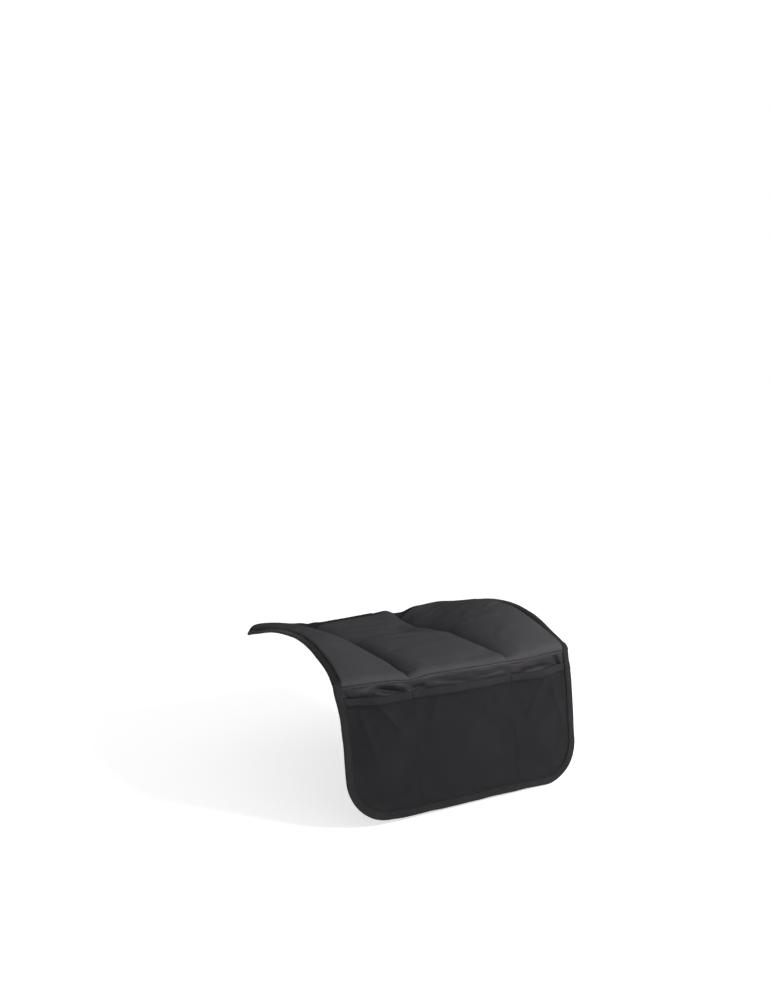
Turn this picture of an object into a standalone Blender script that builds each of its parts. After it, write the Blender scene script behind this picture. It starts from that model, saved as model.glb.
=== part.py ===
"""Car seat protector mat.

A padded mat, draped as it lies on a seat: the pad covers the front of the
cushion, rising over the two side bolsters, and a flap with three mesh pockets
hangs down in front. Every sheet is laid out flat in cloth coordinates (u across
the mat, v along it, 0 at the front seam, + towards the rear of the seat and -
down the flap), then placed on one draped surface at its own height above it.

Metres. +X to the right, +Y towards the rear of the seat, +Z up. The origin is on
the underside of the middle panel, where it lies flat on the cushion.
"""

import math

import bpy
import numpy as np

# Cloth sizes
HALF_WIDTH = 0.2340       # centre line to the outer edge of the sheets
PAD_LENGTH = 0.430        # front seam to the rear edge
FLAP_LENGTH = 0.2280      # front seam to the bottom edge
FLAP_TAPER = 0.012        # share of the width lost from the front seam to the bottom
FLAP_SHIFT = 0.0030       # the flap hangs this much to the right of the pad
FRONT_RADIUS = 0.072      # rounded bottom corners of the flap
REAR_RADIUS = 0.030       # rounded rear corners of the pad
STITCH_X = 0.100          # seams between the panels, and between the pockets
SEAM_LAP = 0.012          # the flap reaches this far in between the cover and the backing

# Layers, measured up from the underside
BACKING = 0.0010
COVER = 0.0010
FOAM = 0.0065
FLAP = 0.0010
MESH = 0.0007
TAPE = 0.0010
GAP = 0.0003
PUFF = 0.022              # the padding reaches its full height this far from a seam

# Binding and pockets
BINDING = 0.012           # visible width of the folded edge tape
POCKET_TOP = 0.0235       # front seam to the top edge of the mesh
POCKET_TAPE = 0.012
POCKET_BULGE = 0.0150     # how far an open pocket stands off the flap

# Draped shape
ORIGIN_Y = 0.120          # front seam to the middle of the flat underside patch
SEAM_DROP = 0.0018        # the front seam lies this much below the flat patch
FLAT_END = 0.168          # the middle panel is flat up to here, then falls away
REAR_START = 0.335
REAR_DROP = 0.0185
REAR_LIFT = 0.0085
REAR_TILT = 0.0055        # the rear of the middle panel rises to the right by this each side of its centre
CREST = {-1: (0.155, 0.0420, 0.310, 0.001), 1: (0.175, 0.0470, 0.310, -0.003)}
#        side: distance back to the crest, its height, length of the fall, height behind
FLARE = {-1: (0.0005, 0.020, 0.200), 0: (0.0085, 0.015, 0.135), 1: (0.0020, 0.010, 0.138)}
#        the flap swings forward by the first, over the second, then by the third per metre
CORNER_DROOP = 0.006


def smooth(t):
    t = np.clip(t, 0.0, 1.0)
    return t * t * (3.0 - 2.0 * t)


def pad_height(x, y):
    """Height of the pad's underside over the row's zero, y back from the front seam."""
    side = -1 if x < 0 else 1
    across = abs(x)
    middle = (
        -SEAM_DROP * (1.0 - smooth(y / 0.06))
        - REAR_DROP * smooth((y - FLAT_END) / (REAR_START - FLAT_END))
        + REAR_LIFT * smooth((y - 0.35) / 0.09)
        + REAR_TILT * smooth((y - 0.30) / 0.13) * np.clip(x / 0.1, -1.0, 1.0)
    )
    crest_y, crest, fall, behind = CREST[side]
    rise = np.sin(0.5 * math.pi * np.clip(y / crest_y, 0.0, 1.0)) ** 0.8
    drop = 0.5 * (1.0 - np.cos(math.pi * np.clip((y - crest_y) / fall, 0.0, 1.0)))
    edge = -SEAM_DROP + (crest + SEAM_DROP) * rise - (crest - behind) * drop
    share = math.sin(0.5 * math.pi * max(0.0, (across - 0.098) / (HALF_WIDTH - 0.098))) ** 1.15
    tilt = (
        side * 0.0025 * smooth((across - 0.072) / 0.03)
        * smooth(y / 0.03) * (1.0 - smooth((y - 0.15) / 0.1))
    )
    droop = CORNER_DROOP * smooth((y - 0.27) / 0.13) * max(0.0, (across - 0.192) / 0.042) ** 2
    return middle + tilt * (1.0 - share) + share * (edge - middle) - droop


def profile(x):
    """The draped line across the front seam at x: cloth distance v, y and z."""
    y = np.linspace(0.0, 0.46, 461)
    z = pad_height(x, y)
    v = np.concatenate([[0.0], np.cumsum(np.hypot(np.diff(y), np.diff(z)))])
    near, far = (FLARE[-1], FLARE[0]) if x < 0 else (FLARE[0], FLARE[1])
    share = min(1.0, abs(x) / HALF_WIDTH)
    share = 1.0 - share if x < 0 else share
    swing, over, lean = (a + (b - a) * share for a, b in zip(near, far))
    drop = np.linspace(0.0, 0.25, 501)
    y_flap = -(swing * (1.0 - np.exp(-drop / over)) + lean * drop)
    z_flap = z[0] - drop
    v_flap = np.concatenate([[0.0], np.cumsum(np.hypot(np.diff(y_flap), np.diff(z_flap)))])
    return (
        np.concatenate([-v_flap[:0:-1], v]),
        np.concatenate([y_flap[:0:-1], y]),
        np.concatenate([z_flap[:0:-1], z]),
    )


def surface(u, v):
    along, y, z = profile(u)
    x = u * (1.0 - FLAP_TAPER * smooth(-v / FLAP_LENGTH)) + FLAP_SHIFT * smooth(-v / 0.06)
    return np.array([x, np.interp(v, along, y) - ORIGIN_Y, np.interp(v, along, z)])


def normal(u, v, step=0.004):
    across = surface(u + step, v) - surface(u - step, v)
    along = surface(u, v + step) - surface(u, v - step)
    found = np.cross(across, along)
    return found / np.linalg.norm(found)


PLACED = {}


def place(u, v, height):
    """The point that lies at this height over the draped surface."""
    key = (round(u, 7), round(v, 7))
    if key not in PLACED:
        PLACED[key] = (surface(u, v), normal(u, v))
    base, up = PLACED[key]
    return tuple(base + up * height)


# Layout in cloth coordinates: rows of v, and columns of u that close in at the rounded corners

INNER = HALF_WIDTH - BINDING
FRONT_INNER = FRONT_RADIUS - BINDING
REAR_INNER = REAR_RADIUS - BINDING
V_BOTTOM = -(FLAP_LENGTH - BINDING)
V_REAR = PAD_LENGTH - BINDING
FIXED = 0.135

PADDING_FRONT = 0.020
MESH_TOP = -(POCKET_TOP + TAPE + GAP)
TAPE_BOTTOM = -(POCKET_TOP + POCKET_TAPE)


def layout_rows():
    arc = [math.radians(a) for a in (0.0, 22.5, 45.0, 67.5, 90.0)]
    rows = [V_BOTTOM + FRONT_INNER * (1.0 - math.cos(a)) for a in arc]
    rows += [-0.124, -0.094, -0.064, TAPE_BOTTOM, MESH_TOP, -0.015, -0.006]
    rows += [0.0, SEAM_LAP, PADDING_FRONT, 0.044]
    rows += [0.075 + 0.030 * k for k in range(11)]
    rows += [V_REAR - REAR_INNER, V_REAR - REAR_INNER * (1.0 - math.sin(math.pi / 4)), V_REAR]
    return rows


ROWS = layout_rows()


def inner_half(v):
    """Half the width inside the binding, and the outward direction of the edge there."""
    low, high = V_BOTTOM + FRONT_INNER, V_REAR - REAR_INNER
    if v < low - 1e-9:
        sine = min(1.0, (low - v) / FRONT_INNER)
        cosine = math.sqrt(max(0.0, 1.0 - sine * sine))
        return INNER - FRONT_INNER * (1.0 - cosine), (cosine, -sine)
    if v > high + 1e-9:
        sine = min(1.0, (v - high) / REAR_INNER)
        cosine = math.sqrt(max(0.0, 1.0 - sine * sine))
        return INNER - REAR_INNER * (1.0 - cosine), (cosine, sine)
    return INNER, (1.0, 0.0)


RIGHT = [0.0, 0.034, 0.067, 0.085, STITCH_X, 0.115, FIXED]
STEPS = (1.0 / 3.0, 2.0 / 3.0, 1.0)


def row_columns(v):
    half, _ = inner_half(v)
    right = RIGHT + [FIXED + (half - FIXED) * s for s in STEPS]
    return [-u for u in right[:0:-1]] + right


COLUMNS = 2 * (len(RIGHT) + len(STEPS)) - 1
LAST = COLUMNS - 1
TOP = len(ROWS) - 1
POINTS = [(u, v) for v in ROWS for u in row_columns(v)]


def at(i, j):
    return i * COLUMNS + j


def edge_loop():
    """Inner points of the binding, counter-clockwise from the bottom left, with outward directions."""
    loop = []
    for j in range(COLUMNS):
        loop.append((at(0, j), (0.0, -1.0)))
    for i in range(1, TOP):
        loop.append((at(i, LAST), inner_half(ROWS[i])[1]))
    for j in range(LAST, -1, -1):
        loop.append((at(TOP, j), (0.0, 1.0)))
    for i in range(TOP - 1, 0, -1):
        out = inner_half(ROWS[i])[1]
        loop.append((at(i, 0), (-out[0], out[1])))
    return loop


LOOP = edge_loop()
OUTER = {}
for inner, out in LOOP:
    u, v = POINTS[inner]
    OUTER[inner] = len(POINTS)
    POINTS.append((u + out[0] * BINDING, v + out[1] * BINDING))


def cells(first, last, columns=None, rim=True):
    """Quads between two rows, with the strip under the binding where rim is set."""
    quads = []
    low, high = columns or (0, LAST)
    for i in range(first, last):
        for j in range(low, high):
            quads.append((at(i, j), at(i, j + 1), at(i + 1, j + 1), at(i + 1, j)))
    if rim:
        count = len(LOOP)
        for k in range(count):
            a, b = LOOP[k][0], LOOP[(k + 1) % count][0]
            row_a, row_b = a // COLUMNS, b // COLUMNS
            if first <= min(row_a, row_b) and max(row_a, row_b) <= last:
                if row_a == row_b and row_a not in (0, TOP):
                    continue
                quads.append((OUTER[a], OUTER[b], b, a))
    return quads


def row(v):
    return min(range(len(ROWS)), key=lambda i: abs(ROWS[i] - v))


# Heights of the layers over the underside


def puff(index):
    """0 on a seam or an edge, 1 where the padding has its full height."""
    u, v = POINTS[index]
    if index >= at(TOP, LAST) + 1 or v <= SEAM_LAP + 1e-6:
        return 0.0
    half, _ = inner_half(v)
    reach = min(
        abs(abs(u) - STITCH_X),
        half + BINDING - abs(u),
        PAD_LENGTH - v,
        v - SEAM_LAP,
    )
    reach = min(1.0, max(0.0, reach) / PUFF)
    return math.sqrt(1.0 - (1.0 - reach) ** 2)


def foam_top(index):
    return BACKING + GAP + FOAM * puff(index)


def cover_low(index):
    if POINTS[index][1] <= SEAM_LAP + 1e-6:
        return BACKING + GAP + FLAP + GAP
    lift = puff(index)
    return BACKING + GAP + (FOAM * lift + GAP if lift > 0.0 else 0.0)


def flap_low(index):
    """The flap's top edge lies over the backing, in the front seam."""
    return BACKING + GAP if POINTS[index][1] >= -1e-6 else 0.0


def mesh_low(index):
    """The mesh lies on the flap at its seams and stands off between them."""
    u, v = POINTS[index]
    base = FLAP + GAP
    if index >= at(TOP, LAST) + 1:
        return base
    half, _ = inner_half(v)
    if abs(u) <= STITCH_X:
        across = math.cos(0.5 * math.pi * abs(u) / STITCH_X)
    else:
        across = math.sin(math.pi * min(1.0, (abs(u) - STITCH_X) / (half - STITCH_X)))
    across = max(0.0, across) ** 0.7
    rise = (v - V_BOTTOM) / (MESH_TOP - V_BOTTOM)
    along = math.sin(0.5 * math.pi * min(1.0, max(0.0, rise) / 0.45)) ** 0.8
    along *= 1.0 - 0.12 * smooth((rise - 0.5) / 0.5)
    lift = POCKET_BULGE * across * along
    if v >= TAPE_BOTTOM - 1e-6:
        lift += TAPE + GAP  # room for the tape's back leg
    return base + lift


def stack_top(index):
    """Top of what the binding folds over."""
    u, v = POINTS[index]
    if v >= -1e-6:
        return cover_low(index) + COVER
    return max(BACKING + GAP + COVER, mesh_low(index) + MESH if v <= MESH_TOP + 1e-6 else 0.0)


# Solids


def material(name, colour, roughness, sheen=0.0):
    made = bpy.data.materials.new(name)
    made.use_nodes = True
    shader = made.node_tree.nodes["Principled BSDF"]
    shader.inputs["Base Color"].default_value = (*colour, 1.0)
    shader.inputs["Roughness"].default_value = roughness
    shader.inputs["Metallic"].default_value = 0.0
    shader.inputs["Sheen Weight"].default_value = sheen
    made.diffuse_color = (*colour, 1.0)
    return made


def add(name, points, faces, finish):
    mesh = bpy.data.meshes.new(name)
    mesh.from_pydata([tuple(float(c) for c in p) for p in points], [], faces)
    mesh.validate()
    mesh.update()
    mesh.materials.append(finish)
    made = bpy.data.objects.new(name, mesh)
    bpy.context.scene.collection.objects.link(made)
    return made


def sheet(name, quads, low, high, finish):
    """A closed sheet over these cells, between two heights."""
    used = sorted({p for quad in quads for p in quad})
    slot = {p: k for k, p in enumerate(used)}
    count = len(used)
    points = [place(*POINTS[p], low(p)) for p in used] + [place(*POINTS[p], high(p)) for p in used]
    faces, edges = [], {}
    for a, b, c, d in quads:
        for tri in ((a, b, c), (a, c, d)):
            faces.append(tuple(slot[p] + count for p in tri))
            faces.append(tuple(slot[p] for p in reversed(tri)))
        for p, q in ((a, b), (b, c), (c, d), (d, a)):
            edges[p, q] = True
    for p, q in edges:
        if (q, p) not in edges:
            faces.append((slot[p], slot[q], slot[q] + count))
            faces.append((slot[p], slot[q] + count, slot[p] + count))
    return add(name, points, faces, finish)


def swept(name, sections, closed, finish):
    """A solid through sections with the same number of points, outward faces for sections that run clockwise."""
    size, count = len(sections[0]), len(sections)
    points = [p for section in sections for p in section]
    faces = []
    for k in range(count if closed else count - 1):
        here, there = k * size, ((k + 1) % count) * size
        for m in range(size):
            n = (m + 1) % size
            if m == 1:  # this face lies on a sheet, so it is split the way the sheet is
                faces.append((here + m, here + n, there + m))
                faces.append((here + n, there + n, there + m))
            else:
                faces.append((here + m, here + n, there + n))
                faces.append((here + m, there + n, there + m))
    if not closed:
        first = list(range(size))
        last = [(count - 1) * size + m for m in range(size)]
        for m0, m1, m2, m3 in ((0, 1, 2, 7), (2, 3, 6, 7), (3, 4, 5, 6)):
            faces.append((first[m0], first[m2], first[m1]))
            faces.append((first[m0], first[m3], first[m2]))
            faces.append((last[m0], last[m1], last[m2]))
            faces.append((last[m0], last[m2], last[m3]))
    return add(name, points, faces, finish)


def binding_sections():
    """The folded tape round the whole mat: under the sheets, round their edge, and over them."""
    sections = []
    for inner, out in LOOP:
        u_in, v_in = POINTS[inner]
        outer = OUTER[inner]
        near = tuple(c + o * (BINDING + GAP) for c, o in zip((u_in, v_in), out))
        far = tuple(c + o * (BINDING + GAP + TAPE) for c, o in zip((u_in, v_in), out))
        edge, top = stack_top(outer) + GAP, stack_top(inner) + GAP
        sections.append([
            place(u_in, v_in, -GAP - TAPE),
            place(u_in, v_in, -GAP),
            place(*near, -GAP),
            place(*near, edge),
            place(u_in, v_in, top),
            place(u_in, v_in, top + TAPE),
            place(*far, edge + TAPE),
            place(*far, -GAP - TAPE),
        ])
    return sections


def pocket_tape_sections():
    """The tape folded over the top edge of the mesh, from one side binding to the other."""
    first, second = row(TAPE_BOTTOM), row(MESH_TOP)
    inside, outside = MESH_TOP + GAP, MESH_TOP + GAP + TAPE
    sections = []
    for j in range(LAST, -1, -1):
        low, top = at(first, j), at(second, j)
        u = POINTS[low][0]
        if j in (0, LAST):
            u -= math.copysign(GAP, u)
        a, b = mesh_low(low), mesh_low(top)
        sections.append([
            place(u, TAPE_BOTTOM, a - GAP - TAPE),
            place(u, TAPE_BOTTOM, a - GAP),
            place(u, inside, b - GAP),
            place(u, inside, b + MESH + GAP),
            place(u, TAPE_BOTTOM, a + MESH + GAP),
            place(u, TAPE_BOTTOM, a + MESH + GAP + TAPE),
            place(u, outside, b + MESH + GAP + TAPE),
            place(u, outside, b - GAP - TAPE),
        ])
    return sections


def main():
    for obj in list(bpy.data.objects):
        bpy.data.objects.remove(obj, do_unlink=True)

    charcoal = material("charcoal_polyester", (0.066, 0.064, 0.070), 0.62, 0.15)
    foam = material("grey_foam", (0.30, 0.30, 0.31), 0.95)
    grip = material("black_anti_slip", (0.022, 0.022, 0.023), 0.80)
    nylon = material("dark_flap_fabric", (0.029, 0.026, 0.029), 0.45, 0.10)
    net = material("black_mesh", (0.024, 0.023, 0.025), 0.70)
    tape = material("black_binding", (0.026, 0.025, 0.027), 0.60, 0.10)

    front = row(0.0)
    padded = row(PADDING_FRONT)

    def constant(value):
        return lambda index: value

    sheet("top_cover", cells(front, TOP), cover_low, lambda p: cover_low(p) + COVER, charcoal)
    sheet("anti_slip_backing", cells(front, TOP), constant(0.0), constant(BACKING), grip)
    base = constant(BACKING + GAP)
    left_in = next(j for j in range(COLUMNS) if abs(row_columns(0.0)[j] + 0.115) < 1e-9)
    middle = (left_in + 2, LAST - left_in - 2)
    sheet("foam_left", cells(padded, TOP, (0, left_in), rim=False), base, foam_top, foam)
    sheet("foam_middle", cells(padded, TOP, middle, rim=False), base, foam_top, foam)
    sheet("foam_right", cells(padded, TOP, (LAST - left_in, LAST), rim=False), base, foam_top, foam)
    sheet("flap_panel", cells(0, row(SEAM_LAP)), flap_low, lambda p: flap_low(p) + FLAP, nylon)
    sheet("pocket_mesh", cells(0, row(MESH_TOP)), mesh_low, lambda p: mesh_low(p) + MESH, net)
    swept("pocket_top_binding", pocket_tape_sections(), False, tape)
    swept("edge_binding", binding_sections(), True, tape)


main()
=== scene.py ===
"""The finished look of the car seat protector mat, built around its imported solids.

The cloth is laid out in cloth coordinates, as the solids are: u across the mat,
v along it, 0 at the front seam, + towards the rear of the pad and - down the
flap. Every sheet, tape and stitch is placed on one draped surface at its own
height, after the cloth between the seams has been simulated.
"""

import math

import bpy
import numpy as np
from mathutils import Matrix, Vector


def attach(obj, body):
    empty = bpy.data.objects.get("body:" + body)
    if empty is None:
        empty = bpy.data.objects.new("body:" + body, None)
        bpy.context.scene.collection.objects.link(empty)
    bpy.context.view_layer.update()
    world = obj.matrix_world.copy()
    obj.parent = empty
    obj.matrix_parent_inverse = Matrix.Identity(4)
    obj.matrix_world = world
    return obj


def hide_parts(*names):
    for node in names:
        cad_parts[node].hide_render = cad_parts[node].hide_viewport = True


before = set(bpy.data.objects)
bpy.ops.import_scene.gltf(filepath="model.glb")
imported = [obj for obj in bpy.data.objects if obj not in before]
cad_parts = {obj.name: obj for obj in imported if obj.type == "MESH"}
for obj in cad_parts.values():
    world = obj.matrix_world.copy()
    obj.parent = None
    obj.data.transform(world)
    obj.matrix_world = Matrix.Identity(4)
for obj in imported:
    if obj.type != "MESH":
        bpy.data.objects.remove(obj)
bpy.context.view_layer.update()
scene = bpy.context.scene

# ---------------------------------------------------------------- sizes, in metres

HALF_WIDTH = 0.2340
PAD_LENGTH = 0.430
FLAP_LENGTH = 0.2280
FLAP_TAPER = 0.012
FLAP_SHIFT = 0.0030
FRONT_RADIUS = 0.072
REAR_RADIUS = 0.030
STITCH_X = 0.100
SEAM_LAP = 0.012

BACKING = 0.0010
COVER = 0.0010
FOAM = 0.0065
FLAP = 0.0010
MESH = 0.0007
TAPE = 0.0010
GAP = 0.0003
PUFF = 0.022

BINDING = 0.012
POCKET_TOP = 0.0235
POCKET_TAPE = 0.012
POCKET_BULGE = 0.0150

ORIGIN_Y = 0.120
SEAM_DROP = 0.0018
FLAT_END = 0.168
REAR_START = 0.335
REAR_DROP = 0.0185
REAR_LIFT = 0.0085
REAR_TILT = 0.0055
CREST = {-1: (0.155, 0.0420, 0.310, 0.001), 1: (0.175, 0.0470, 0.310, -0.003)}
FLARE = {-1: (0.0005, 0.020, 0.200), 0: (0.0085, 0.015, 0.135), 1: (0.0020, 0.010, 0.138)}
CORNER_DROOP = 0.006

MESH_TOP = -(POCKET_TOP + TAPE + GAP)
TAPE_BOTTOM = -(POCKET_TOP + POCKET_TAPE)


# ---------------------------------------------------------------- the draped surface


def smooth(t):
    t = np.clip(t, 0.0, 1.0)
    return t * t * (3.0 - 2.0 * t)


def pad_height(x, y):
    side = -1 if x < 0 else 1
    across = abs(x)
    middle = (
        -SEAM_DROP * (1.0 - smooth(y / 0.06))
        - REAR_DROP * smooth((y - FLAT_END) / (REAR_START - FLAT_END))
        + REAR_LIFT * smooth((y - 0.35) / 0.09)
        + REAR_TILT * smooth((y - 0.30) / 0.13) * np.clip(x / 0.1, -1.0, 1.0)
    )
    crest_y, crest, fall, behind = CREST[side]
    rise = np.sin(0.5 * math.pi * np.clip(y / crest_y, 0.0, 1.0)) ** 0.8
    drop = 0.5 * (1.0 - np.cos(math.pi * np.clip((y - crest_y) / fall, 0.0, 1.0)))
    edge = -SEAM_DROP + (crest + SEAM_DROP) * rise - (crest - behind) * drop
    outward = min(1.0, max(0.0, (across - 0.098) / (HALF_WIDTH - 0.098)))
    share = math.sin(0.5 * math.pi * outward) ** 1.15
    tilt = (
        side * 0.0025 * smooth((across - 0.072) / 0.03)
        * smooth(y / 0.03) * (1.0 - smooth((y - 0.15) / 0.1))
    )
    droop = CORNER_DROOP * smooth((y - 0.27) / 0.13) * max(0.0, (across - 0.192) / 0.042) ** 2
    return middle + tilt * (1.0 - share) + share * (edge - middle) - droop


def profile(x):
    y = np.linspace(0.0, 0.46, 461)
    z = pad_height(x, y)
    v = np.concatenate([[0.0], np.cumsum(np.hypot(np.diff(y), np.diff(z)))])
    near, far = (FLARE[-1], FLARE[0]) if x < 0 else (FLARE[0], FLARE[1])
    share = min(1.0, abs(x) / HALF_WIDTH)
    share = 1.0 - share if x < 0 else share
    swing, over, lean = (a + (b - a) * share for a, b in zip(near, far))
    drop = np.linspace(0.0, 0.25, 501)
    y_flap = -(swing * (1.0 - np.exp(-drop / over)) + lean * drop)
    z_flap = z[0] - drop
    v_flap = np.concatenate([[0.0], np.cumsum(np.hypot(np.diff(y_flap), np.diff(z_flap)))])
    return (
        np.concatenate([-v_flap[:0:-1], v]),
        np.concatenate([y_flap[:0:-1], y]),
        np.concatenate([z_flap[:0:-1], z]),
    )


def relief(u, v):
    """What the grooves of a seat and the bends of the mat add to the draped surface, in height."""
    near = np.abs(u) - STITCH_X
    groove = -0.0042 * np.exp(-((near / 0.014) ** 2)) * smooth(v / 0.05)
    deep = np.where(u < 0, 0.0065, 0.0085)
    dip = -deep * np.exp(-((near / 0.014) ** 2)) * smooth((v - 0.345) / 0.060)
    tall = np.where(u < 0, 0.0125, 0.0085)
    stand = tall * np.exp(-((near / 0.017) ** 2)) + np.where(u < 0.05, 0.0050, 0.0035)
    curl = stand * smooth((v - 0.4155) / 0.0135)
    left = -0.0040 * np.exp(-(((u + 0.152) / 0.034) ** 2) - ((v - 0.150) / 0.095) ** 2)
    corner = 0.0038 * np.exp(-(((u - 0.072) / 0.015) ** 2) - ((v - 0.402) / 0.020) ** 2)
    tip = -0.0020 * smooth((-u - 0.190) / 0.044) * smooth((v - 0.330) / 0.10)
    tip = tip - 0.0050 * smooth((-u - 0.212) / 0.024) * smooth((v - 0.385) / 0.040)
    rear = -0.0090 * np.exp(-(((u - 0.120) / 0.019) ** 2)) * smooth((v - 0.340) / 0.055)
    seams = -0.0048 * np.exp(-(((u + 0.098) / 0.024) ** 2)) + 0.0006 * np.exp(-(((u - 0.100) / 0.022) ** 2))
    seams = seams + 0.0058 * smooth((u - 0.125) / 0.090) + 0.0022 * smooth((-u - 0.130) / 0.090)
    front = seams * np.exp(-((np.maximum(v, 0.0) / 0.034) ** 2) - ((np.minimum(v, 0.0) / 0.013) ** 2))
    side = 0.0044 * smooth((u - 0.2165) / 0.013) * smooth((v - 0.030) / 0.080)
    low = 0.0043 * smooth((-u - 0.100) / 0.090) * smooth((-v - 0.150) / 0.060)
    low = low - 0.0026 * smooth((u - 0.080) / 0.100) * smooth((-v - 0.130) / 0.070)
    bend = -0.0038 * smooth((v - 0.200) / 0.030) + 0.0038 * smooth((v - 0.262) / 0.100)
    bend = bend * smooth((0.094 - np.abs(u + 0.02)) / 0.030)
    return groove + dip + curl + left + corner + tip + rear + front + side + low + bend


CELL = 0.001
U_LOW, V_LOW = -0.246, -0.246
U_AXIS = U_LOW + CELL * np.arange(493)
V_AXIS = V_LOW + CELL * np.arange(689)


def drape_tables():
    """The draped surface and its upward normals on a 1 mm grid of cloth coordinates."""
    base = np.zeros((len(U_AXIS), len(V_AXIS), 3))
    taper = 1.0 - FLAP_TAPER * smooth(-V_AXIS / FLAP_LENGTH)
    shift = FLAP_SHIFT * smooth(-V_AXIS / 0.06)
    for k, u in enumerate(U_AXIS):
        along, y, z = profile(float(u))
        corner = -0.0036 * smooth((-u - 0.150) / 0.080) * np.exp(-((V_AXIS / 0.028) ** 2))
        point = -0.0080 * smooth((-u - 0.165) / 0.070) * smooth((V_AXIS - 0.350) / 0.075)
        base[k, :, 0] = u * taper + shift + corner + point
        base[k, :, 1] = np.interp(V_AXIS, along, y) - ORIGIN_Y
        base[k, :, 2] = np.interp(V_AXIS, along, z) + relief(float(u), V_AXIS)
    # the fold at the front seam is a small roll, not a crease
    kernel = np.exp(-0.5 * (np.arange(-8, 9) / 2.2) ** 2)
    kernel /= kernel.sum()
    rolled = base.copy()
    for k in range(-8, 9):
        if k == -8:
            rolled[:] = 0.0
        rolled += kernel[k + 8] * np.roll(base, k, axis=1)
    near = np.exp(-((V_AXIS / 0.010) ** 4))[None, :, None]
    base = base * (1.0 - near) + rolled * near
    across = np.zeros_like(base)
    across[3:-3] = base[6:] - base[:-6]
    across[:3], across[-3:] = across[3], across[-4]
    along = np.zeros_like(base)
    along[:, 3:-3] = base[:, 6:] - base[:, :-6]
    along[:, :3], along[:, -3:] = along[:, 3:4], along[:, -4:-3]
    up = np.cross(across, along)
    up /= np.linalg.norm(up, axis=-1, keepdims=True)
    return base, up


BASE, UP = drape_tables()


def sample(table, u, v, low=(U_LOW, V_LOW), cell=(CELL, CELL)):
    a = np.clip((np.asarray(u) - low[0]) / cell[0], 0.0, table.shape[0] - 1.0001)
    b = np.clip((np.asarray(v) - low[1]) / cell[1], 0.0, table.shape[1] - 1.0001)
    i, j = a.astype(int), b.astype(int)
    fa, fb = a - i, b - j
    if table.ndim == 3:
        fa, fb = fa[..., None], fb[..., None]
    return (
        table[i, j] * (1 - fa) * (1 - fb)
        + table[i + 1, j] * fa * (1 - fb)
        + table[i, j + 1] * (1 - fa) * fb
        + table[i + 1, j + 1] * fa * fb
    )


def ups(u, v):
    n = sample(UP, u, v)
    return n / np.linalg.norm(n, axis=-1, keepdims=True)


def place(u, v, height):
    u, v = np.broadcast_arrays(np.asarray(u, float), np.asarray(v, float))
    return sample(BASE, u, v) + ups(u, v) * np.broadcast_to(height, u.shape)[..., None]


def waves(u, v, seed, size, count=7):
    """A smooth, repeatable unevenness between about -1 and 1, with waves of about this size."""
    pick = np.random.default_rng(seed)
    total = np.zeros(np.broadcast(u, v).shape)
    for _ in range(count):
        angle, phase = pick.uniform(0, 2 * math.pi, 2)
        length = size * pick.uniform(0.7, 1.5)
        total += np.sin(2 * math.pi * (u * math.cos(angle) + v * math.sin(angle)) / length + phase)
    return total / math.sqrt(count) / 1.2


# ---------------------------------------------------------------- outline and heights


def half_width(v, inset):
    """Half the width of the outline at v, this far inside it."""
    v = np.asarray(v, float)
    half = np.full(v.shape, HALF_WIDTH - inset)
    for sign, end, radius in ((-1, -FLAP_LENGTH, FRONT_RADIUS), (1, PAD_LENGTH, REAR_RADIUS)):
        r = radius - inset
        depth = sign * (v - end) + radius  # distance past the start of the corner
        bend = np.clip(depth / r, 0.0, 1.0)
        half = half - np.where(depth > 0, r * (1.0 - np.sqrt(1.0 - bend * bend)), 0.0)
    return half


def rising(u):
    """The pockets' top edge is drawn up towards the side bindings."""
    return 0.0046 * smooth((np.abs(u) - 0.150) / 0.078)


def edge_distance(u, v):
    """Distance in from the outline, in cloth coordinates."""
    au = np.abs(u)
    side = HALF_WIDTH - au
    rear, front = PAD_LENGTH - v, v + FLAP_LENGTH
    out = np.minimum(side, np.minimum(rear, front))
    for gap, radius in ((rear, REAR_RADIUS), (front, FRONT_RADIUS)):
        corner = (side < radius) & (gap < radius)
        reach = radius - np.hypot(radius - side, radius - gap)
        out = np.where(corner, reach, out)
    return out


def swell(distance, reach, power=2.0):
    """A rounded rise from 0 on a seam to 1 at this reach from it."""
    away = 1.0 - np.clip(distance / reach, 0.0, 1.0)
    return np.clip(1.0 - away ** power, 0.0, 1.0) ** (1.0 / power)


def puff(u, v):
    """0 on a seam or an edge, 1 where the padding has its full height.

    Left of each seam the padding rolls down steeply, right of it it rises slowly."""
    steep = swell(np.abs(np.where(u < 0, -STITCH_X - u, STITCH_X - u)), 0.011, 2.0)
    slow_reach = np.where(u < 0, 0.030, 0.040)
    away = 1.0 - np.clip(np.abs(np.where(u < 0, STITCH_X + u, u - STITCH_X)) / slow_reach, 0.0, 1.0)
    slow = 1.0 - away ** 1.75
    left_of_seam = (u < -STITCH_X) | ((u >= 0) & (u < STITCH_X))
    seams = np.where(left_of_seam, steep, slow)
    middle = (u >= -STITCH_X) & (u < 0)
    seams = np.where(middle, slow, seams)
    inward = edge_distance(u, np.maximum(v, 0.02)) - 0.0112
    rim = swell(inward, np.where(u < -STITCH_X, 0.0045, 0.0070), 2.0)
    thin = (1.0 - smooth((HALF_WIDTH + u - 0.0112) / 0.058)) * (1.0 - smooth((v - 0.290) / 0.080))
    rim = rim * (1.0 - 0.58 * thin)
    front = swell(v - 0.0004, 0.0100, 2.0)
    return seams * rim * front


PAD_RISE = 0.0082
LOW_COVER = BACKING + GAP


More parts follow.
